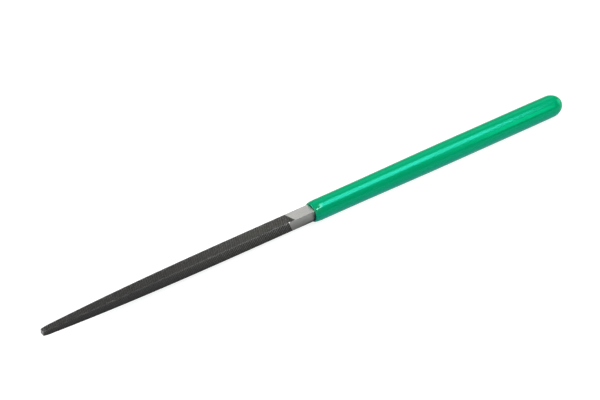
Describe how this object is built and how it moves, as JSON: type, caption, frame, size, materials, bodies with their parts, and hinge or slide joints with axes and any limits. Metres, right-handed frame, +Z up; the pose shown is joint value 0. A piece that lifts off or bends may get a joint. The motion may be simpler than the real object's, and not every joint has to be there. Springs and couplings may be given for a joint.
{
  "type": "square file",
  "caption": "Slim square needle file: a tapered double-cut steel blade, a bare square shank and a round domed plastic sleeve as its handle, for filing corners, slots and square holes.",
  "frame": {"origin": "on the file's axis at the mouth of the sleeve, half way along the whole length", "axes": "+X along the file from its tip towards the domed end of the sleeve, +Z up, with the blade's flats square to Y and Z"},
  "size_m": [0.14, 0.0052, 0.0052],
  "materials": {
    "dark_steel": "dark hardened steel, satin, toothed in front and bare on the shank",
    "green_plastic": "smooth glossy green"
  },
  "bodies": {
    "root": {"file_blade": "dark_steel", "handle_sleeve": "green_plastic"}
  },
  "joints": []
}
